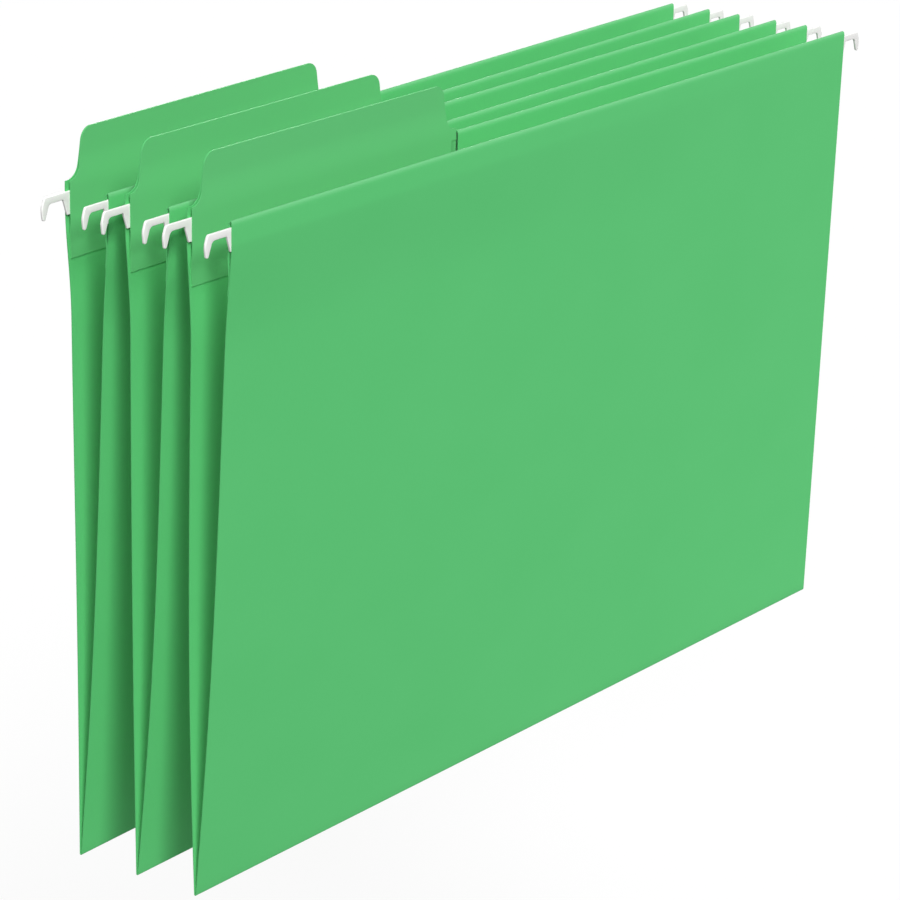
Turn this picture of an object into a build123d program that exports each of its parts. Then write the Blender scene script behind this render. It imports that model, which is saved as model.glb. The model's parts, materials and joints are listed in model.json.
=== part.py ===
"""A set of three legal-size hanging file folders, hung one behind another.

Frame: the origin is at the middle of the middle folder's back rod, level with the undersides
of the hook necks, which is where the hooks sit on the rails. X runs along that rod with the
tabs at the -X end, +Y is to the rear and +Z is up. All sizes are in millimetres.

Each folder is one card sheet creased at the bottom, drawn as a back leaf and a front leaf that
meet on the crease line. The rods hang parallel and the crease runs a little aslant below them, so
both leaves are slightly twisted. The top of each leaf is hemmed inward over a flat steel rod with
a hook at each end, and the back leaf stands up into a tab of two plies.
"""
import os

from build123d import *

# card sheet
leaf_width = 375.0
leaf_height = 235.0
card = 0.28
top_opening = 16.9
crease_left = 2.6
crease_right = 14.0
front_bow = 1.6
back_bow = 0.5
top_corner_radius = 0.6

# hem over the rod
hem_depth = 24.5
pocket_straight = 9.6
pocket_taper = 9.0
rod_play = 0.05

# tab
tab_width = 125.0
tab_height = 17.5
tab_inset = 7.9
tab_flare = 2.7
tab_corner_radius = 4.8
tab_foot_radius = 5.0
shoulder_rise = 1.2
ply_inset = 1.0
ply_foot = 2.6
ply_bend = 10.0
notch_width = 3.5
notch_drop = 2.0
hem_end_play = 0.4

# steel rod and its hooks
rod_thickness = 0.6
rod_top_drop = 0.6
rod_bottom_drop = 9.75
step_inset = 8.0
step_run = 3.0
hook_top_drop = 2.25
hook_reach = 12.35
hook_corner_cut = 1.3
hook_shoulder_drop = 3.4
hook_depth = 7.15
neck_height = 2.1
notch_start = 1.9
notch_mouth = 7.15
notch_flare = 1.9
tip_width = 0.9
gusset_foot = 0.0
hook_corner_radius = 1.1
hook_shoulder_radius = 5.0
tip_radius = 0.5
notch_outer_radius = 2.0
notch_inner_radius = 1.0

# white dipped coat on the hook ends
coat = 0.15
coat_cover = 6.0

# row of folders
folder_pitch = 28.1
skew_step = 0.88

pocket = rod_thickness + 2 * coat + 2 * rod_play
inner = pocket / 2
outer = inner + card
pocket_low = -outer - pocket_straight
pocket_end = pocket_low - pocket_taper
half = leaf_width / 2
hem_top = hook_top_drop + neck_height + coat
tab_left = -half + tab_inset
tab_right = tab_left + tab_width
hem_start = tab_right + tab_flare + ply_foot + notch_width


def upright(face, thickness):
    """Thicken a front-view outline equally to both sides of the rod plane."""
    return extrude(Plane.XZ * face, amount=thickness / 2, both=True)


def along(face, start, end):
    """Sweep a side-view outline along X from start to end."""
    return Pos(start, 0, 0) * extrude(Plane.YZ * face, amount=end - start)


def sheet_section(crease_in, bow):
    """Side view of a leaf below its hem: inward is to the left, and 0 is the top of the hem."""
    foot = (-crease_in, -leaf_height)
    knee = (0, -hem_depth)
    middle = ((foot[0] + knee[0]) / 2 + bow, (foot[1] + knee[1]) / 2)
    curve = ThreePointArc(foot, middle, knee)
    shifted = Pos(card, 0) * curve
    rim = Line(knee, (card, -hem_depth))
    sole = Line((foot[0] + card, foot[1]), foot)
    return make_face([curve, rim, shifted, sole])


def twisted_sheet(left_in, right_in, bow):
    """Leaf below its hem, whose foot lies further in at one end than at the other."""
    left = Pos(-half, 0, 0) * (Plane.YZ * sheet_section(left_in, bow))
    right = Pos(half, 0, 0) * (Plane.YZ * sheet_section(right_in, bow))
    return loft([left, right], ruled=True)


def hem_section():
    """Side view of the hem: the sheet turns over the rod and is glued to itself below it."""
    fold = ThreePointArc((outer, -outer), (0, 0), (-outer, -outer))
    flap = Polyline(
        (-outer, -outer),
        (-outer, pocket_low),
        (-card, pocket_end),
        (-card, -hem_depth),
        (card, -hem_depth),
        (card, pocket_end),
        (outer, pocket_low),
        (outer, -outer),
    )
    void_arc = ThreePointArc((inner, -outer), (0, -card), (-inner, -outer))
    void_sides = Polyline(
        (-inner, -outer),
        (-inner, pocket_low),
        (0, pocket_end),
        (inner, pocket_low),
        (inner, -outer),
    )
    return make_face([fold, flap]) - make_face([void_arc, void_sides])


def ply_section(side):
    """Side view of a ply of the tab, which bulges past the rod: side is 1 for the rear, -1 for the front."""
    glued = [
        (0, tab_height),
        (0, ply_bend),
        (inner, -outer),
        (inner, pocket_low),
        (0, pocket_end),
        (0, -hem_depth),
    ]
    bare = [(across + card, up) for across, up in reversed(glued)]
    return make_face(Polyline(*[(side * across, up) for across, up in glued + bare], close=True))


def tab_outline(left, right):
    """Front view of the tab with its S-shaped sides, cut off at left and right past the feet."""
    ends = tab_width / 2
    points = [
        (tab_left - ends, -hem_depth),
        (tab_left - ends, shoulder_rise),
        (tab_left - tab_flare, shoulder_rise),
        (tab_left, tab_height),
        (tab_right, tab_height),
        (tab_right + tab_flare, shoulder_rise),
        (tab_right + ends, shoulder_rise),
        (tab_right + ends, -hem_depth),
    ]
    radii = [0, 0, tab_foot_radius, tab_corner_radius, tab_corner_radius, tab_foot_radius, 0, 0]
    shape = make_face(FilletPolyline(*points, radius=radii, close=True))
    return shape & Pos((left + right) / 2, 0) * Rectangle(right - left, 4 * hem_depth)


def round_top_corners(body, left_too):
    """Cut the hemmed corners of a leaf to a small radius."""
    corner = Rectangle(top_corner_radius, top_corner_radius, align=(Align.MAX, Align.MAX))
    corner -= Pos(-top_corner_radius, -top_corner_radius) * Circle(top_corner_radius)
    body -= Pos(half, 0, 0) * upright(corner, 4 * outer)
    if left_too:
        body -= mirror(Pos(half, 0, 0) * upright(corner, 4 * outer), Plane.YZ)
    return body


def back_leaf():
    """Back leaf in place, with the hem turned forward and the rear ply of the tab."""
    left_end = Pos(-half, -hem_depth) * Rectangle(
        hem_start + half, hem_depth - outer, align=(Align.MIN, Align.MIN)
    )
    front_view = left_end + tab_outline(-half, hem_start - notch_width)
    ply = along(ply_section(1), -half, hem_start) & upright(front_view, 4 * outer)
    hem = along(hem_section(), hem_start, half)
    return round_top_corners(twisted_sheet(crease_left, crease_right, back_bow) + ply + hem, False)


def front_leaf():
    """Front leaf in place, with the hem turned to the rear."""
    sheet = twisted_sheet(top_opening - crease_left, top_opening - crease_right, front_bow)
    body = round_top_corners(sheet + along(hem_section(), -half, half), True)
    return Pos(0, -top_opening, 0) * mirror(body, Plane.XZ)


def tab_ply():
    """Front ply of the tab, glued to the back leaf above and below the rod."""
    right = hem_start - hem_end_play
    outline = tab_outline(-half + ply_inset, right)
    outline -= Pos(right, -notch_drop) * Rectangle(
        notch_width, hem_depth, align=(Align.MAX, Align.MAX)
    )
    return along(ply_section(-1), -half, half) & upright(outline, 4 * outer)


def rod_outline():
    """Front view of a rod with a downward hook at each end."""
    neck_foot = -hook_top_drop - neck_height
    tip = -hook_top_drop - hook_depth
    mouth_end = notch_start + notch_mouth
    end = [
        (-step_inset, -rod_top_drop),
        (-step_inset + step_run, -hook_top_drop),
        (hook_reach - hook_corner_cut, -hook_top_drop),
        (hook_reach, -hook_top_drop - hook_shoulder_drop),
        (mouth_end + notch_flare + tip_width, tip),
        (mouth_end + notch_flare, tip),
        (mouth_end, neck_foot),
        (notch_start, neck_foot),
        (gusset_foot, -rod_bottom_drop),
    ]
    radii = [
        0,
        0,
        hook_corner_radius,
        hook_shoulder_radius,
        tip_radius,
        tip_radius,
        notch_outer_radius,
        notch_inner_radius,
        0,
    ]
    right = [(half + out, up) for out, up in end]
    left = [(-across, up) for across, up in reversed(right)]
    return make_face(FilletPolyline(*right, *left, radius=radii + radii[::-1], close=True))


def place(body, row, rod_line):
    """Move a body from its folder's hem frame to its place in the row."""
    home = Pos(0, (1 - row) * folder_pitch, 0) * Rot(0, 0, (1 - row) * skew_step)
    return home * Pos(0, rod_line, hem_top) * body


outline = rod_outline()
rod = upright(outline, rod_thickness)
cover = Pos(half + hook_reach, 0) * Rectangle(2 * (hook_reach + coat_cover), 4 * hem_depth)
dip = offset(outline, amount=coat, kind=Kind.ARC) & cover
right_coat = upright(dip, rod_thickness + 2 * coat) - rod
left_coat = mirror(right_coat, Plane.YZ)

pieces = {
    "back_leaf": (back_leaf(), 0),
    "tab_ply": (tab_ply(), 0),
    "front_leaf": (front_leaf(), 0),
    "back_rod": (rod, 0),
    "back_left_hook_coat": (left_coat, 0),
    "back_right_hook_coat": (right_coat, 0),
    "front_rod": (rod, -top_opening),
    "front_left_hook_coat": (left_coat, -top_opening),
    "front_right_hook_coat": (right_coat, -top_opening),
}

os.makedirs("parts", exist_ok=True)
for row, folder in enumerate(["rear", "middle", "front"]):
    for name, (body, rod_line) in pieces.items():
        export_step(place(body, row, rod_line), f"parts/{folder}_{name}.step")
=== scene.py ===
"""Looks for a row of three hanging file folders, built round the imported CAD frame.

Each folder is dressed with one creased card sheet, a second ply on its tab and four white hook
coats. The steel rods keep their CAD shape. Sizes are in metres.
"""
import json
import math

import bpy
import numpy as np
from bpy.props import FloatProperty, FloatVectorProperty, PointerProperty
from mathutils import Matrix, Vector


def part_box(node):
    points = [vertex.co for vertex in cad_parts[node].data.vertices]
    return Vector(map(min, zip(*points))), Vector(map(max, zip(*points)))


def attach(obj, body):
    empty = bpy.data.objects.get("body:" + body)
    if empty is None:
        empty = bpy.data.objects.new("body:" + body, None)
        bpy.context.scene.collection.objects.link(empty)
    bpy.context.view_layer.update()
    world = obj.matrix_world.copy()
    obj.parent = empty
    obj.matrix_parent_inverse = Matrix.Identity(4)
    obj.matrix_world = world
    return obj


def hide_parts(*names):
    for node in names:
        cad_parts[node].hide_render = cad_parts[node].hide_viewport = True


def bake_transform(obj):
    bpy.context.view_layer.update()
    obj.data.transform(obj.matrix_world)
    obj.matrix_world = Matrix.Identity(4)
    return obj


bl_info = {
    "name": "Hanging file folders",
    "version": (1, 0, 0),
    "blender": (4, 5, 0),
    "location": "View3D > Sidebar > Folders",
    "description": "Dresses a row of hanging file folders with card, coated hooks and steel rods",
    "category": "Object",
}

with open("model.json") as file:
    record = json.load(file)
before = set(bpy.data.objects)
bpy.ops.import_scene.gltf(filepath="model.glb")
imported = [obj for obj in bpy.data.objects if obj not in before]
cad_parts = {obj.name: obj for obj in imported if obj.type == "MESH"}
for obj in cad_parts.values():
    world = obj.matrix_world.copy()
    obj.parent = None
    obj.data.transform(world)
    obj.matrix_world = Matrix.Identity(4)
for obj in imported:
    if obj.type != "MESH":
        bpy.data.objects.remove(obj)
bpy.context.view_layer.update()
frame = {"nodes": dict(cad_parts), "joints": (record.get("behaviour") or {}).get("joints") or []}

MM = 0.001
FOLDERS = ("rear", "middle", "front")
CREASES = {j["child"].removesuffix("_front"): j for j in frame["joints"] if j["type"] == "hinge"}
CREASE_Y, CREASE_Z = CREASES["middle"]["pos_m"][1:]
CREASE_SLANT = CREASES["middle"]["axis"][1] / CREASES["middle"]["axis"][0]
HALF_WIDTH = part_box("middle_front_leaf")[1].x
HEM_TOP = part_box("middle_front_leaf")[1].z
TAB_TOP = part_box("middle_back_leaf")[1].z
PLY_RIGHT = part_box("middle_tab_ply")[1].x
ROD_Y = {
    side: sum(corner.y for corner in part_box(f"middle_{side}_rod")) / 2 for side in ("back", "front")
}
OUTWARD = {"back": 1, "front": -1}

# how finely the surfaces are divided
FOLD_ROWS = 15
FLAP_ROWS = 26
HEM_ROWS = 25
LEAF_ROWS = 61
CREASE_ROWS = 11
TAB_ROWS = 25
PLY_ROWS = 85
HEM_COLUMNS = 64
TAB_STEP = 4 * MM
ARC_STEPS = 10
EDGE_RINGS = 6
SHARP_ANGLE = math.radians(35)

# how a leaf's bow and draw-in run from its hem down to its crease
BOW_SKEW = 1.4
DRAW_EASE = 0.16

# features per metre in the patterns of the finishes
FIBRES = (1400, 500, 1)
CLOUDS = (22, 30, 1)
COAT_DRIFT = (420, 420, 420)
ROLLING_LINES = (30, 3000, 3000)

# tone of the uneven places, as a share of the plain tone
COAT_SHADE = 0.94
STEEL_SHADE = 0.7

SENSOR_WIDTH = 36.0
FLOOR_GLOW = 0.9


def size(name, description, millimetres):
    """A length that a user may change, given here in millimetres."""
    return FloatProperty(
        name=name, description=description, default=millimetres * MM, unit="LENGTH", precision=5
    )


def sizes(name, description, millimetres):
    """One length for each folder, from the rear to the front."""
    return FloatVectorProperty(
        name=name, description=description, default=[v * MM for v in millimetres],
        unit="LENGTH", precision=5,
    )


def angle(name, description, degrees):
    """An angle that a user may change, given here in degrees."""
    return FloatProperty(
        name=name, description=description, default=math.radians(degrees), unit="ROTATION"
    )


def aim(name, description, degrees):
    """Three angles of a lamp, given here in degrees: turn, height and spread."""
    return FloatVectorProperty(
        name=name, description=description, default=[math.radians(d) for d in degrees],
        unit="ROTATION",
    )


def level(name, description, share):
    """An amount of light, where 1 shows a white surface as white."""
    return FloatProperty(name=name, description=description, default=share, min=0)


def place(name, description, point):
    """A place in the row frame."""
    return FloatVectorProperty(
        name=name, description=description, default=point, subtype="TRANSLATION"
    )


def colour(name, description, linear):
    """A colour that a user may change, in linear light."""
    return FloatVectorProperty(
        name=name, description=description, default=linear, subtype="COLOR", min=0, max=1
    )


class CardSettings(bpy.types.PropertyGroup):
    """Sizes of the creased sheets, their hems and their tabs."""

    thickness: size("Thickness", "Caliper of the card", 0.28)
    crease_radius: size("Crease radius", "Bend of the card's middle at the crease", 0.3)
    hem_depth: size("Hem depth", "From the fold to the end of the glued flap", 24.5)
    fold_height: size("Fold height", "Height over which the hem turns over its rod", 1.4)
    pocket: size("Rod pocket", "Clear width inside the hem", 1.0)
    pocket_straight: size("Pocket depth", "Straight part of the pocket below the fold", 9.6)
    pocket_taper: size("Pocket taper", "Height over which the plies come together again", 9.0)
    glue: size("Glue line", "Space between glued plies", 0.02)
    lean_start: size("Lean start", "From the fold down to where a leaf begins to lean", 8.0)
    front_draw: size("Front draw-in", "Draw-in of a front leaf below its rod at the left edge", 1.0)
    back_draw: size("Back draw-in", "Draw-in of a back leaf below its rod at the left edge", 2.1)
    hem_corner: size("Hem corner radius", "Rounding of the hemmed corners", 0.6)
    tab_width: size("Tab width", "Width of the tab along its top edge", 125.0)
    tab_inset: size("Tab inset", "From the leaf's left edge to the top of the tab", 7.9)
    tab_flare: size("Tab flare", "How far each side of the tab runs out at its foot", 2.7)
    tab_corner: size("Tab corner radius", "Rounding of the tab's top corners", 4.8)
    tab_foot: size("Tab foot radius", "Hollow curve at the foot of the tab's sides", 5.0)
    shoulder: size("Shoulder", "Height of the shoulders beside the tab above the hem", 1.2)
    ply_inset: size("Ply inset", "From the leaf's left edge to the tab's front ply", 1.0)
    ply_bend: size("Ply bend", "Height above the hem where the tab's plies come together", 10.0)
    notch_width: size("Notch width", "Width of the strip and the slit beside the hem's end", 3.5)
    notch_drop: size("Notch drop", "From the hem's top down to the pressed strip", 2.8)
    notch_press: size("Notch press", "How far the strip is pressed in towards the rod", 0.17)
    slit: size("Slit", "Width of the slit between the strip and the end of the hem", 1.2)
    hem_play: size("Hem play", "Space between the front ply's solid and the hem", 0.4)
    front_bow: sizes("Front bows", "Outward bow of front leaves at the left edge", (1.5, 2.1, 1.5))
    back_bow: sizes("Back bows", "Outward bow of back leaves at the left edge", (-0.8, 0.1, 1.3))


class HookSettings(bpy.types.PropertyGroup):
    """Sizes of a hook, measured out from the leaf's edge and down from the top of the hem."""

    coat: size("Coat", "Thickness of the dipped coat on the steel", 0.15)
    plate: size("Plate", "Coated thickness of the hook", 0.9)
    edge_radius: size("Edge radius", "Rounding of the coated edges", 0.25)
    cover: size("Cover", "How far the coat reaches in under the hem", 6.0)
    cover_top: size("Cover top", "Top of the steel where the coat ends", 1.7)
    step: size("Step", "From the leaf's edge in to where the rod steps down", 5.0)
    top_drop: size("Top drop", "Top of the steel hook below the top of the hem", 2.25)
    bottom_drop: size("Bottom drop", "Bottom of the steel strip below the top of the hem", 9.75)
    reach: size("Reach", "Overhang of the steel hook past the leaf's edge", 12.35)
    corner_cut: size("Corner cut", "Slope across the outer top corner", 1.3)
    shoulder_drop: size("Shoulder drop", "From the hook's top down to its widest point", 3.4)
    depth: size("Depth", "From the hook's top down to its tip", 7.15)
    neck: size("Neck", "Height of the steel over the rail gap", 2.1)
    gap_start: size("Gap start", "From the leaf's edge out to the rail gap", 1.9)
    gap: size("Gap", "Rail gap between the steel edges at the neck", 7.15)
    gap_flare: size("Gap flare", "How much the gap widens towards the tip", 1.9)
    tip: size("Tip", "Width of the steel tip", 0.9)
    corner_radius: size("Corner radius", "Rounding of the outer top corner", 1.1)
    shoulder_radius: size("Shoulder radius", "Rounding at the hook's widest point", 5.0)
    tip_radius: size("Tip radius", "Rounding of the tip's corners", 0.5)
    gap_outer_radius: size("Outer gap radius", "Hollow corner of the gap on the hook's side", 2.0)
    gap_inner_radius: size("Inner gap radius", "Hollow corner of the gap on the leaf's side", 1.0)


class FinishSettings(bpy.types.PropertyGroup):
    """Colours of the card, the coats, the steel and the floor."""

    card: colour("Card", "Face of the green card", (0.096, 0.540, 0.165))
    fibre: colour("Fibre", "Paler fibres in the card", (0.120, 0.585, 0.196))
    # Slightly darker than the face: partly the cut card's own tone, partly painted shade along the
    # tabs' flanks.
    edge: colour("Cut edge", "Cut edge of the card", (0.100, 0.500, 0.165))
    # Paler, duller card on fold crests and under the crease: rubbed card, and on the crests a painted
    # highlight.
    worn: colour("Worn fold", "Card that is rubbed along a fold", (0.138, 0.460, 0.195))
    coat: colour("Coat", "White hook coat", (0.89, 0.885, 0.87))
    steel: colour("Steel", "Bare rod strip", (0.46, 0.47, 0.47))
    floor: colour("Floor", "Pale studio floor", (0.90, 0.90, 0.90))
    bounce: colour("Bounce", "Light that the floor throws back up", (0.08, 0.08, 0.08))


class StudioSettings(bpy.types.PropertyGroup):
    """Camera, lamps and floor."""

    camera: place("Camera", "Place of the camera", (-0.99997, -0.69508, 0.28949))
    heading: angle("Heading", "Turn of the camera from +Y towards +X", 55.04)
    tilt: angle("Tilt", "Downward tilt of the camera", 19.00)
    roll: angle("Roll", "Roll of the camera", 1.43)
    lens: FloatProperty(
        name="Lens", description="Focal length in millimetres", default=139.137, unit="CAMERA"
    )
    top: aim("Top lamp", "Turn from the front to the left, height and spread", (36, 63, 20))
    top_level: level("Top level", "Light of the top lamp on a surface that faces it", 0.36)
    key: aim("Key lamp", "Turn, height and spread of the main lamp", (33, 42, 20))
    key_level: level("Key level", "Light of the key lamp on a surface that faces it", 0.74)
    fill: aim("Fill lamp", "Turn, height and spread of the fill lamp near the camera", (55, 25, 8))
    fill_level: level("Fill level", "Light of the fill lamp on a surface that faces it", 0.41)
    back: aim("Back lamp", "Turn, height and spread of the lamp behind the row", (222, 9, 14))
    back_level: level("Back level", "Light of the back lamp on a surface that faces it", 0.70)
    sky: level("Sky", "Strength of the white surround", 0.06)
    floor_drop: size("Floor drop", "From the creases down to the floor", 270.0)
    floor_width: size("Floor width", "Side of the square floor", 12000.0)


class Value:
    """A shader socket that Python's arithmetic works on, with one Math node per operation."""

    def __init__(self, tree, socket):
        self.tree = tree
        self.socket = socket

    def math(self, operation, first, second):
        """Add a Math node on two sockets or numbers."""
        node = self.tree.nodes.new("ShaderNodeMath")
        node.operation = operation
        for slot, item in zip(node.inputs, (first, second)):
            if isinstance(item, Value):
                self.tree.links.new(item.socket, slot)
            else:
                slot.default_value = item
        return Value(self.tree, node.outputs[0])

    def __add__(self, other):
        return self.math("ADD", self, other)

    def __radd__(self, other):
        return self.math("ADD", other, self)

    def __mul__(self, other):
        return self.math("MULTIPLY", self, other)

    def __rmul__(self, other):
        return self.math("MULTIPLY", other, self)


class Shader:
    """A node tree under construction."""

    def __init__(self, owner):
        owner.use_nodes = True
        self.owner = owner
        self.tree = owner.node_tree
        self.tree.nodes.clear()

    def node(self, kind, settings=None, inputs=None, out=0):
        """Add a node of a kind, apply its settings, then give its sockets values or links."""
        made = self.tree.nodes.new("ShaderNode" + kind)
        for name, value in (settings or {}).items():
            setattr(made, name, value)
        for name, value in (inputs or {}).items():
            if isinstance(value, Value):
                self.tree.links.new(value.socket, made.inputs[name])
            else:
                made.inputs[name].default_value = value
        return Value(self.tree, made.outputs[out])

    def mix(self, factor, first, second):
        """Blend two colours, given as linear triples or sockets."""
        pair = [c if isinstance(c, Value) else (*c, 1) for c in (first, second)]
        inputs = {"Factor": factor, 6: pair[0], 7: pair[1]}
        return self.node("Mix", {"data_type": "RGBA"}, inputs, out=2)

    def noise(self, vector, stretch, detail=2.0):
        """Noise on a coordinate, with its features per metre along each axis."""
        spread = self.node("Mapping", inputs={"Vector": vector, "Scale": stretch})
        return self.node("TexNoise", inputs={"Vector": spread, "Scale": 1.0, "Detail": detail})

    def close(self, kind, shader):
        """Join the finished shader to an output node and hand back its owner."""
        end = self.tree.nodes.new("ShaderNode" + kind)
        self.tree.links.new(shader.socket, end.inputs["Surface"])
        return self.owner


def card_finish(tones):
    """Matt coloured card: fine fibres down the sheet, faint clouding, folds paled partly as rubbed
    card and partly by a painted highlight, and cut edges darkened partly with painted shade.
    """
    card = Shader(bpy.data.materials.new("green_card"))
    flat = card.node("UVMap", {"uv_map": "flat"})
    fibre = card.noise(flat, FIBRES, 4.0)
    cloud = card.noise(flat, CLOUDS)
    edge = card.node("Attribute", {"attribute_name": "cut_edge"}, out=2)
    worn = card.node("Attribute", {"attribute_name": "worn"}, out=2)
    mottling = fibre * 0.5 + cloud * 0.5
    # Fold crests and the crease take the paler fold colour: rubbed card, and on the crests a painted
    # highlight.
    rub_and_highlight = worn * (0.7 + 0.6 * fibre)
    plain = card.mix(mottling, tones.card, tones.fibre)
    face = card.mix(rub_and_highlight, plain, tones.worn)
    bump = card.node("Bump", inputs={"Strength": 0.25, "Distance": 0.03 * MM, "Height": fibre})
    inputs = {
        # Cut edges take the darker edge tone, which is partly painted shade along the tabs' flanks.
        "Base Color": card.mix(edge, face, tones.edge),
        "Roughness": 0.50 + 0.16 * fibre,
        "Specular IOR Level": 0.2,
        "Normal": bump,
    }
    return card.close("OutputMaterial", card.node("BsdfPrincipled", inputs=inputs))


def coat_finish(tones):
    """White dipped coat: slightly uneven and glossy."""
    coat = Shader(bpy.data.materials.new("white_coat"))
    spot = coat.node("TexCoord", out=3)
    drift = coat.noise(spot, COAT_DRIFT)
    shaded = [COAT_SHADE * tone for tone in tones.coat]
    bump = coat.node("Bump", inputs={"Strength": 0.2, "Distance": 0.1 * MM, "Height": drift})
    inputs = {
        "Base Color": coat.mix(drift, tones.coat, shaded),
        "Roughness": 0.26 + 0.12 * drift,
        "Normal": bump,
    }
    return coat.close("OutputMaterial", coat.node("BsdfPrincipled", inputs=inputs))


def steel_finish(tones):
    """Bare cold-rolled strip with rolling lines along its length."""
    steel = Shader(bpy.data.materials.new("rod_steel"))
    spot = steel.node("TexCoord", out=3)
    lines = steel.noise(spot, ROLLING_LINES, 3.0)
    dark = [STEEL_SHADE * tone for tone in tones.steel]
    bump = steel.node("Bump", inputs={"Strength": 0.2, "Distance": 0.02 * MM, "Height": lines})
    inputs = {
        "Base Color": steel.mix(lines, tones.steel, dark),
        "Metallic": 1.0,
        "Roughness": 0.24 + 0.14 * lines,
        "Normal": bump,
    }
    return steel.close("OutputMaterial", steel.node("BsdfPrincipled", inputs=inputs))


def seen_by_camera(shader):
    """One on rays from the camera, a mirror or glass, and zero on the rays that light things."""
    kinds = ("Is Camera Ray", "Is Glossy Ray", "Is Transmission Ray")
    camera, glossy, clear = [shader.node("LightPath", out=kind) for kind in kinds]
    return camera + glossy + clear


def floor_finish(tones):
    """Pale floor that reads as white with a faint shadow, and throws little light back up."""
    floor = Shader(bpy.data.materials.new("studio_floor"))
    paint = floor.node("BsdfDiffuse", inputs={"Color": (*tones.floor, 1)})
    dull = floor.node("BsdfDiffuse", inputs={"Color": (*tones.bounce, 1)})
    glow = floor.node("Emission", inputs={"Color": (1, 1, 1, 1), "Strength": 1.0})
    shown = floor.node("MixShader", inputs={0: FLOOR_GLOW, 1: paint, 2: glow})
    whole = floor.node("MixShader", inputs={0: seen_by_camera(floor), 1: dull, 2: shown})
    return floor.close("OutputMaterial", whole)


def corner_arc(before, corner, after, radius):
    """Points on the arc of that radius that is tangent to both lines of a corner."""
    if radius == 0:
        return corner[None]
    back = (before - corner) / np.linalg.norm(before - corner)
    ahead = (after - corner) / np.linalg.norm(after - corner)
    half = math.acos(np.clip(back @ ahead, -1, 1)) / 2
    middle = corner + (back + ahead) / np.linalg.norm(back + ahead) * radius / math.sin(half)
    ends = [corner + side * radius / math.tan(half) - middle for side in (back, ahead)]
    first = math.atan2(ends[0][1], ends[0][0])
    sweep = math.atan2(ends[1][1], ends[1][0]) - first
    sweep = (sweep + math.pi) % (2 * math.pi) - math.pi
    turn = first + sweep * np.linspace(0, 1, ARC_STEPS)
    return middle + radius * np.column_stack([np.cos(turn), np.sin(turn)])


def rounded_path(corners, radii, closed=False):
    """A path through corner points whose corners are tangent arcs; the ends of an open path stay."""
    points = np.array(corners, float)
    last = len(points) - 1
    pieces = []
    for i, radius in enumerate(radii):
        at_end = not closed and i in (0, last)
        nearby = points[i - 1], points[i], points[(i + 1) % len(points)]
        pieces.append(points[i][None] if at_end else corner_arc(*nearby, radius))
    return np.concatenate(pieces)


def subdivided(path, step):
    """The same path with evenly spaced points added on every run longer than a step."""
    runs = np.linalg.norm(np.diff(path, axis=0), axis=1)
    parts = [
        np.linspace(a, b, max(1, math.ceil(run / step)), endpoint=False)
        for a, b, run in zip(path, path[1:], runs)
    ]
    return np.concatenate([*parts, path[-1:]])


def smooth(share):
    """An S-shaped ease from 0 to 1."""
    share = np.clip(share, 0, 1)
    return share * share * (3 - 2 * share)


def tab_outline(card):
    """Front view of the tab from the left edge of the leaf to the hem: x and height.

    Shoulder, hollow foot, slanted side, round corner, straight top, and the same mirrored."""
    left = -HALF_WIDTH + card.tab_inset
    right = left + card.tab_width
    low = HEM_TOP + card.shoulder
    corners = [
        (-HALF_WIDTH, low),
        (left - card.tab_flare, low),
        (left, TAB_TOP),
        (right, TAB_TOP),
        (right + card.tab_flare, low),
        (PLY_RIGHT, low),
    ]
    radii = [0, card.tab_foot, card.tab_corner, card.tab_corner, card.tab_foot, 0]
    return subdivided(rounded_path(corners, radii), TAB_STEP)


class CardMesh:
    """Grids of points on the middle of a card, joined along shared rows, each point with its place
    on the flat card and its share of rubbed card and painted highlight."""

    def __init__(self):
        self.points = []
        self.flat = []
        self.worn = []
        self.quads = []
        self.count = 0

    def add(self, points, flat, worn, first_row=None):
        """Add a grid of points; a given first row is the joined edge of an earlier grid."""
        rows, columns = points.shape[:2]
        skip = 0 if first_row is None else 1
        fresh = self.count + np.arange((rows - skip) * columns).reshape(-1, columns)
        index = fresh if first_row is None else np.vstack([first_row, fresh])
        self.points.append(points[skip:].reshape(-1, 3))
        self.flat.append(flat[skip:].reshape(-1, 2))
        self.worn.append(worn[skip:].ravel())
        corners = [index[:-1, :-1], index[:-1, 1:], index[1:, 1:], index[1:, :-1]]
        self.quads.append(np.stack(corners, axis=-1).reshape(-1, 4))
        self.count += fresh.size
        return index

    def solid(self, name, thickness):
        """Thicken the card to both sides along its normals and close its cut edges."""
        points = np.concatenate(self.points)
        quads = np.concatenate(self.quads)
        flat = np.concatenate(self.flat)
        spans = points[quads]
        facing = np.cross(spans[:, 2] - spans[:, 0], spans[:, 3] - spans[:, 1])
        normal = np.zeros_like(points)
        for corner in range(4):
            np.add.at(normal, quads[:, corner], facing)
        normal /= np.linalg.norm(normal, axis=1)[:, None]
        starts = quads.ravel()
        ends = np.roll(quads, -1, axis=1).ravel()
        free = ~np.isin(starts * self.count + ends, ends * self.count + starts)
        a, b = starts[free], ends[free]
        rims = np.column_stack([b, a, a + self.count, b + self.count])
        faces = np.concatenate([quads, quads[:, ::-1] + self.count, rims])
        half = normal * thickness / 2
        vertices = np.concatenate([points + half, points - half])
        made = new_mesh(name, vertices, faces)
        edge = made.data.attributes.new("cut_edge", "FLOAT", "FACE")
        edge.data.foreach_set("value", (np.arange(len(faces)) >= 2 * len(quads)).astype(np.float32))
        worn = made.data.attributes.new("worn", "FLOAT", "POINT")
        worn.data.foreach_set("value", np.tile(np.concatenate(self.worn), 2).astype(np.float32))
        layer = made.data.uv_layers.new(name="flat")
        both_sides = np.tile(flat, (2, 1))
        layer.uv.foreach_set("vector", both_sides[faces.ravel()].astype(np.float32).ravel())
        return made


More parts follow.
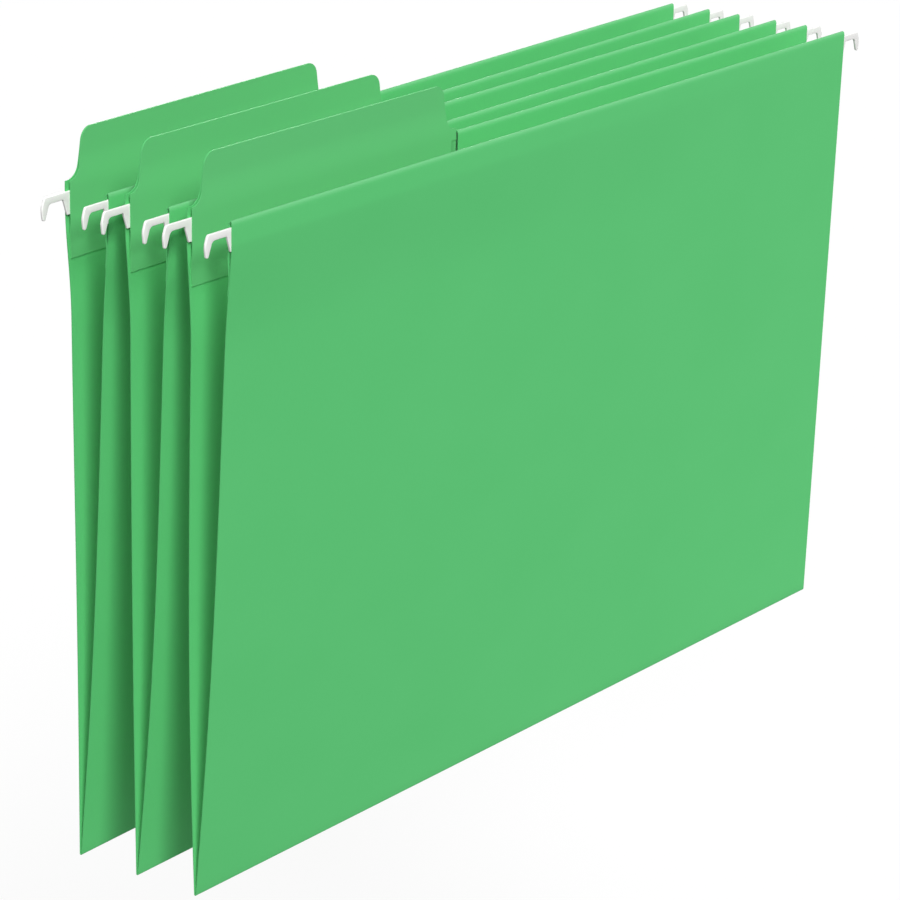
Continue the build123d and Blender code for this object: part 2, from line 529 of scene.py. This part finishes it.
def new_mesh(name, vertices, faces):
    """An object at the origin from arrays, smooth but for its sharp edges."""
    mesh = bpy.data.meshes.new(name)
    mesh.from_pydata(vertices, [], [list(face) for face in faces])
    mesh.shade_smooth()
    mesh.set_sharp_from_angle(angle=SHARP_ANGLE)
    made = bpy.data.objects.new(name, mesh)
    bpy.context.scene.collection.objects.link(made)
    return made


def crease_turn(folder):
    """Turn of a folder's crease from the X axis."""
    axis = CREASES[folder]["axis"]
    return math.atan2(axis[1], axis[0])


def in_row(points, folder):
    """Turn and move points from the middle folder's place to another folder's place in the row."""
    turn = crease_turn(folder) - crease_turn("middle")
    start = CREASES[folder]["pos_m"]
    x, y, z = np.moveaxis(points, -1, 0)
    y = y - CREASE_Y
    turned_x = x * math.cos(turn) - y * math.sin(turn)
    turned_y = x * math.sin(turn) + y * math.cos(turn)
    return np.stack([start[0] + turned_x, start[1] + turned_y, z], axis=-1)


def fold_level(card):
    """Height of the axis that a hem's fold turns about."""
    return HEM_TOP - card.thickness / 2 - card.fold_height


def pocket_share(card, z):
    """One beside the rod, easing in an S shape to zero where two plies are glued: upwards over the
    tab's bend and downwards over the pocket's taper."""
    fold = fold_level(card)
    above = smooth((z - fold) / (HEM_TOP + card.ply_bend - fold))
    below = smooth((fold - card.pocket_straight - z) / card.pocket_taper)
    return 1 - above - below


def ply_space(card, z):
    """Distance between the middles of two plies, from a glue line to the rod's pocket."""
    return card.thickness + card.glue + (card.pocket - card.glue) * pocket_share(card, z)


def outer_ply(card, folder, side, x, z):
    """Y of the middle of a leaf and, above the hem, of the tab's rear ply.

    Below the rod the leaf is ruled from the rod's line to the slanting crease line. On that lies an
    outward bow, the sine of pi times a power of the share of the way down, less a draw-in that eases
    in and then falls with the square of the share left to go. Both fade to the right edge."""
    row = FOLDERS.index(folder)
    bow = (card.front_bow if side == "front" else card.back_bow)[row]
    draw = card.front_draw if side == "front" else card.back_draw
    start = HEM_TOP - card.lean_start
    share = np.clip((start - z) / (start - CREASE_Z), 0, 1)
    crease = CREASE_Y + CREASE_SLANT * x
    ruled = ROD_Y[side] + (crease - ROD_Y[side]) * share
    pocket = ply_space(card, np.maximum(z, fold_level(card))) / 2
    spread = pocket + (card.crease_radius - pocket) * share
    fade = smooth((HALF_WIDTH - x) / (2 * HALF_WIDTH))
    drawn = draw * smooth(share / DRAW_EASE) * (1 - share) ** 2
    out = spread + fade * (bow * np.sin(math.pi * share**BOW_SKEW) - drawn)
    return ruled + OUTWARD[side] * out


def inner_ply(card, folder, side, x, z):
    """Y of the middle of a hem's flap or of the tab's front ply, which lies on its leaf."""
    return outer_ply(card, folder, side, x, z) - OUTWARD[side] * ply_space(card, z)


def hem_grid(card, folder, side, x):
    """A hem's middle surface as y and z: half an ellipse over the rod, then the flap to its end."""
    bend = (card.pocket + card.thickness) / 2
    fold = fold_level(card)
    turn = np.linspace(0, math.pi, FOLD_ROWS)[:, None]
    fold_y = ROD_Y[side] + OUTWARD[side] * bend * np.cos(turn) + 0 * x
    fold_z = fold + card.fold_height * np.sin(turn) + 0 * x
    flap_z = np.linspace(fold, HEM_TOP - card.hem_depth, FLAP_ROWS)[1:, None] + 0 * x
    flap_y = inner_ply(card, folder, side, x, flap_z)
    return np.concatenate([fold_y, flap_y]), np.concatenate([fold_z, flap_z])


def leaf_grid(card, folder, side, x):
    """A leaf's middle surface from its fold down to the crease, as y and z over rows and columns."""
    knee = HEM_TOP - card.hem_depth
    hem = np.linspace(fold_level(card), knee, HEM_ROWS)[:-1]
    z = np.concatenate([hem, np.linspace(knee, CREASE_Z, LEAF_ROWS)])[:, None] + 0 * x
    return outer_ply(card, folder, side, x, z), z


def crease_grid(card, x):
    """The crease: half a turn under the crease line, from the front leaf to the back leaf."""
    turn = np.linspace(math.pi, 2 * math.pi, CREASE_ROWS)[1:-1, None]
    y = CREASE_Y + CREASE_SLANT * x + card.crease_radius * np.cos(turn)
    z = CREASE_Z + card.crease_radius * np.sin(turn) + 0 * x
    return y, z


def fold_wear_and_highlight(card, z):
    """How rubbed the card is, with a painted highlight on the crests: one on a fold's crest and under
    the crease, falling to zero where the card lies flat."""
    crest = np.clip((z - fold_level(card)) / card.fold_height, 0, 1)
    crease = np.clip((CREASE_Z - z) / card.crease_radius, 0, 1)
    return crest + crease


def cut_corners(card, x, z, left_too):
    """Draw the ends of a hem in to a round corner near the fold."""
    radius = card.hem_corner
    rise = np.clip(z - (HEM_TOP - radius), 0, radius)
    limit = HALF_WIDTH - radius + np.sqrt(radius**2 - rise**2)
    x = np.minimum(x, limit)
    return np.maximum(x, -limit) if left_too else x


def lengths(y, z):
    """Length along each column of a grid, from its first row."""
    steps = np.hypot(np.diff(y, axis=0), np.diff(z, axis=0))
    return np.concatenate([np.zeros((1, y.shape[1])), np.cumsum(steps, axis=0)])


def card_sheet(card, folder):
    """One folder's whole sheet: front flap, front leaf, crease, back leaf, and then the back hem
    beside the tab's rear ply."""
    outline = tab_outline(card)
    tab_end = PLY_RIGHT + card.hem_play - card.notch_width
    tab = outline[outline[:, 0] < tab_end]
    tab = np.vstack([tab, [tab_end, tab[-1, 1]]])
    hem_x = np.linspace(PLY_RIGHT + card.hem_play, HALF_WIDTH, HEM_COLUMNS)
    x = np.concatenate([tab[:, 0], hem_x])
    front_y, front_z = leaf_grid(card, folder, "front", x)
    back_y, back_z = leaf_grid(card, folder, "back", x)
    crease_y, crease_z = crease_grid(card, x)
    flap_y, flap_z = (part[:0:-1] for part in hem_grid(card, folder, "front", x))
    y = np.concatenate([flap_y, front_y, crease_y, back_y[::-1]])
    z = np.concatenate([flap_z, front_z, crease_z, back_z[::-1]])
    along = lengths(y, z)
    wide = x + 0 * z
    back_start = len(flap_y) + len(front_y) + len(crease_y)
    wide[:back_start] = cut_corners(card, wide[:back_start], z[:back_start], True)
    mesh = CardMesh()
    sheet = in_row(np.stack([wide, y, z], axis=-1), folder)
    body = mesh.add(sheet, np.stack([wide, along], axis=-1), fold_wear_and_highlight(card, z))

    rise = np.linspace(0, 1, TAB_ROWS)[:, None]
    tab_z = z[-1, 0] + (tab[:, 1] - z[-1, 0]) * rise
    tab_x = tab[:, 0] + 0 * tab_z
    tab_y = outer_ply(card, folder, "back", tab_x, tab_z)
    tab_flat = np.stack([tab_x, along[-1, 0] + tab_z - z[-1, 0]], axis=-1)
    tab_points = in_row(np.stack([tab_x, tab_y, tab_z], axis=-1), folder)
    mesh.add(tab_points, tab_flat, 0 * tab_z, body[-1, : len(tab)])

    hem_y, hem_z = hem_grid(card, folder, "back", hem_x)
    hem_wide = cut_corners(card, hem_x + 0 * hem_z, hem_z, False)
    hem_flat = np.stack([hem_wide, along[-1, -1] + lengths(hem_y, hem_z)], axis=-1)
    hem = in_row(np.stack([hem_wide, hem_y, hem_z], axis=-1), folder)
    mesh.add(hem, hem_flat, fold_wear_and_highlight(card, hem_z), body[-1, len(tab):])
    return mesh.solid(f"{folder}_card_sheet", card.thickness)


def tab_ply(card, folder):
    """The tab's front ply: columns under the tab's outline that mirror the rear ply, swing out over
    the rod on an S-shaped bend and end level with the hem's flap. Beside the end of the hem a strip
    of it is pressed in as far as the slit."""
    outline = tab_outline(card)
    left = -HALF_WIDTH + card.ply_inset
    notch = PLY_RIGHT - card.notch_width
    slit = PLY_RIGHT + card.hem_play - card.slit
    keep = outline[(outline[:, 0] > left) & (outline[:, 0] < notch)]
    x = np.concatenate([[left], keep[:, 0], [notch, notch + card.thickness, slit]])
    top = np.interp(x, *outline.T)
    low = HEM_TOP - card.hem_depth
    z = low + (top - low) * np.linspace(0, 1, PLY_ROWS)[:, None]
    wide = x + 0 * z
    below = smooth((HEM_TOP - card.notch_drop - z) / card.thickness)
    press = card.notch_press * pocket_share(card, z) * below * (x > notch)
    y = inner_ply(card, folder, "back", wide, z) + press
    mesh = CardMesh()
    mesh.add(in_row(np.stack([wide, y, z], axis=-1), folder), np.stack([wide, z], axis=-1), 0 * z)
    return mesh.solid(f"{folder}_tab_front_ply", card.thickness)


def hook_outline(hook):
    """Front view of the coated hook: the steel's rounded outline moved out by the coat."""
    neck_foot = -hook.top_drop - hook.neck
    tip = -hook.top_drop - hook.depth
    gap_end = hook.gap_start + hook.gap
    corners = [
        (-hook.cover, -hook.bottom_drop),
        (0, -hook.bottom_drop),
        (hook.gap_start, neck_foot),
        (gap_end, neck_foot),
        (gap_end + hook.gap_flare, tip),
        (gap_end + hook.gap_flare + hook.tip, tip),
        (hook.reach, -hook.top_drop - hook.shoulder_drop),
        (hook.reach - hook.corner_cut, -hook.top_drop),
        (-hook.step, -hook.top_drop),
        (-hook.cover, -hook.cover_top),
    ]
    radii = [
        hook.coat,
        hook.coat,
        hook.gap_inner_radius,
        hook.gap_outer_radius,
        hook.tip_radius,
        hook.tip_radius,
        hook.shoulder_radius,
        hook.corner_radius,
        hook.corner_radius,
        hook.coat,
    ]
    path = rounded_path(corners, radii, closed=True)
    ahead = np.roll(path, -1, axis=0) - np.roll(path, 1, axis=0)
    out = np.column_stack([ahead[:, 1], -ahead[:, 0]]) / np.linalg.norm(ahead, axis=1)[:, None]
    return path + out * hook.coat, out


def hook_coat(hook, folder, side, hand):
    """A coated hook: its outline carried through the plate's thickness on a rounded edge, so that
    ring by ring it draws in along a quarter circle to each flat face."""
    path, out = hook_outline(hook)
    round_edge = hook.edge_radius
    turn = np.linspace(0, math.pi / 2, EDGE_RINGS)
    draw = round_edge * (1 - np.sin(turn))
    reach = hook.plate / 2 - round_edge + round_edge * np.cos(turn)
    inset = np.concatenate([draw, draw[::-1]])
    depth = np.concatenate([-reach, reach[::-1]])
    rings = path[None] - out[None] * inset[:, None, None]
    sign = 1 if hand == "right" else -1
    x = sign * (HALF_WIDTH + rings[..., 0])
    y = ROD_Y[side] + depth[:, None] + 0 * x
    z = HEM_TOP + rings[..., 1]
    points = in_row(np.stack([x, y, z], axis=-1), folder).reshape(-1, 3)
    count = len(path)
    index = np.arange(len(points)).reshape(-1, count)
    ahead = np.roll(index, -1, axis=1)
    quads = np.stack([index[:-1], ahead[:-1], ahead[1:], index[1:]], axis=-1).reshape(-1, 4)
    caps = [index[0][::-1], index[-1]]
    faces = [*quads, *caps]
    if sign > 0:
        faces = [face[::-1] for face in faces]
    return new_mesh(f"{folder}_{side}_{hand}_coated_hook", points, faces)


def dress(piece, material, slot, *nodes):
    """Give a piece its material and let it stand for its CAD nodes, which are hidden. The slot is not
    used.
    """
    piece.data.materials.append(material)
    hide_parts(*nodes)


class FOLDERS_OT_card_sheets(bpy.types.Operator):
    """Make the creased card sheet of each folder"""

    bl_idname = "folders.card_sheets"
    bl_label = "Card sheets"

    def execute(self, context):
        card = context.scene.folder_card
        material = card_finish(context.scene.folder_finish)
        for folder in FOLDERS:
            sheet = card_sheet(card, folder)
            dress(sheet, material, "green_card", f"{folder}_back_leaf", f"{folder}_front_leaf")
            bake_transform(sheet)
        return {"FINISHED"}


class FOLDERS_OT_tab_plies(bpy.types.Operator):
    """Make the front ply of each tab"""

    bl_idname = "folders.tab_plies"
    bl_label = "Tab plies"

    def execute(self, context):
        material = bpy.data.materials["green_card"]
        for folder in FOLDERS:
            ply = tab_ply(context.scene.folder_card, folder)
            dress(ply, material, "green_card", f"{folder}_tab_ply")
            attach(ply, f"{folder}_back")
        return {"FINISHED"}


class FOLDERS_OT_hook_coats(bpy.types.Operator):
    """Make the white coated hooks at the ends of the rods"""

    bl_idname = "folders.hook_coats"
    bl_label = "Hook coats"

    def execute(self, context):
        material = coat_finish(context.scene.folder_finish)
        for folder in FOLDERS:
            for side in OUTWARD:
                for hand in ("left", "right"):
                    coat = hook_coat(context.scene.folder_hook, folder, side, hand)
                    dress(coat, material, "white_coat", f"{folder}_{side}_{hand}_hook_coat")
                    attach(coat, f"{folder}_{side}")
        return {"FINISHED"}


class FOLDERS_OT_rods(bpy.types.Operator):
    """Finish the steel rods inside the hems"""

    bl_idname = "folders.rods"
    bl_label = "Rods"

    def execute(self, context):
        material = steel_finish(context.scene.folder_finish)
        for name, node in frame["nodes"].items():
            if name.endswith("_rod"):
                node.data.materials.clear()
                node.data.materials.append(material)
        return {"FINISHED"}


class FOLDERS_OT_studio(bpy.types.Operator):
    """Set up the camera, the lamps, the white surround and the floor"""

    bl_idname = "folders.studio"
    bl_label = "Studio"

    def execute(self, context):
        scene = context.scene
        studio = scene.folder_studio
        scene.view_settings.view_transform = "Standard"
        self.camera(scene, studio)
        for name in ("top", "key", "fill", "back"):
            self.lamp(scene, name, getattr(studio, name), getattr(studio, name + "_level"))
        self.surround(scene, studio)
        half = studio.floor_width / 2
        low = CREASE_Z - studio.floor_drop
        corners = [(-half, -half, low), (half, -half, low), (half, half, low), (-half, half, low)]
        floor = new_mesh("studio_floor", np.array(corners), [(0, 1, 2, 3)])
        floor.data.materials.append(floor_finish(scene.folder_finish))
        return {"FINISHED"}

    def camera(self, scene, studio):
        """Camera from its place, heading, tilt and roll."""
        data = bpy.data.cameras.new("camera")
        data.sensor_width = SENSOR_WIDTH
        data.lens = studio.lens
        level_ahead = Vector((math.sin(studio.heading), math.cos(studio.heading), 0))
        ahead = level_ahead * math.cos(studio.tilt)
        ahead.z = -math.sin(studio.tilt)
        right = ahead.cross(Vector((0, 0, 1))).normalized()
        up = right.cross(ahead)
        side = right * math.cos(studio.roll) + up * math.sin(studio.roll)
        top = up * math.cos(studio.roll) - right * math.sin(studio.roll)
        camera = bpy.data.objects.new("camera", data)
        turned = Matrix((side, top, -ahead)).transposed().to_4x4()
        camera.matrix_world = Matrix.Translation(studio.camera) @ turned
        scene.collection.objects.link(camera)
        scene.camera = camera

    def lamp(self, scene, name, angles, amount):
        """A far soft lamp from its turn, height and spread."""
        turn, height, spread = angles
        data = bpy.data.lights.new(name + "_lamp", "SUN")
        data.energy = math.pi * amount
        data.angle = spread
        flat = math.cos(height)
        source = Vector((-math.sin(turn) * flat, -math.cos(turn) * flat, math.sin(height)))
        lamp = bpy.data.objects.new(name + "_lamp", data)
        lamp.rotation_euler = source.to_track_quat("Z", "Y").to_euler()
        scene.collection.objects.link(lamp)

    def surround(self, scene, studio):
        """White to the camera, and a softer white light on the object."""
        scene.world = bpy.data.worlds.new("surround")
        sky = Shader(scene.world)
        strength = studio.sky + (1 - studio.sky) * seen_by_camera(sky)
        light = sky.node("Background", inputs={"Color": (1, 1, 1, 1), "Strength": strength})
        sky.close("OutputWorld", light)


class FOLDERS_PT_panel(bpy.types.Panel):
    """Sidebar panel with the settings and the steps that dress the folders"""

    bl_idname = "FOLDERS_PT_panel"
    bl_label = "Hanging folders"
    bl_space_type = "VIEW_3D"
    bl_region_type = "UI"
    bl_category = "Folders"

    def draw(self, context):
        for name in SETTINGS:
            box = self.layout.box()
            group = getattr(context.scene, name)
            for key in group.__annotations__:
                box.prop(group, key)
        for step in STEPS:
            self.layout.operator(step.bl_idname)


SETTINGS = {
    "folder_card": CardSettings,
    "folder_hook": HookSettings,
    "folder_finish": FinishSettings,
    "folder_studio": StudioSettings,
}
STEPS = (
    FOLDERS_OT_card_sheets,
    FOLDERS_OT_tab_plies,
    FOLDERS_OT_hook_coats,
    FOLDERS_OT_rods,
    FOLDERS_OT_studio,
)


def register():
    """Register the settings, the steps and the panel."""
    for name, group in SETTINGS.items():
        bpy.utils.register_class(group)
        setattr(bpy.types.Scene, name, PointerProperty(type=group))
    for step in (*STEPS, FOLDERS_PT_panel):
        bpy.utils.register_class(step)


def unregister():
    """Take away what register() added."""
    for step in (FOLDERS_PT_panel, *reversed(STEPS)):
        bpy.utils.unregister_class(step)
    for name, group in SETTINGS.items():
        delattr(bpy.types.Scene, name)
        bpy.utils.unregister_class(group)


def main():
    """Dress the folders step by step."""
    register()
    bpy.ops.folders.card_sheets()
    bpy.ops.folders.tab_plies()
    bpy.ops.folders.hook_coats()
    bpy.ops.folders.rods()
    bpy.ops.folders.studio()


if __name__ == "__main__":
    main()
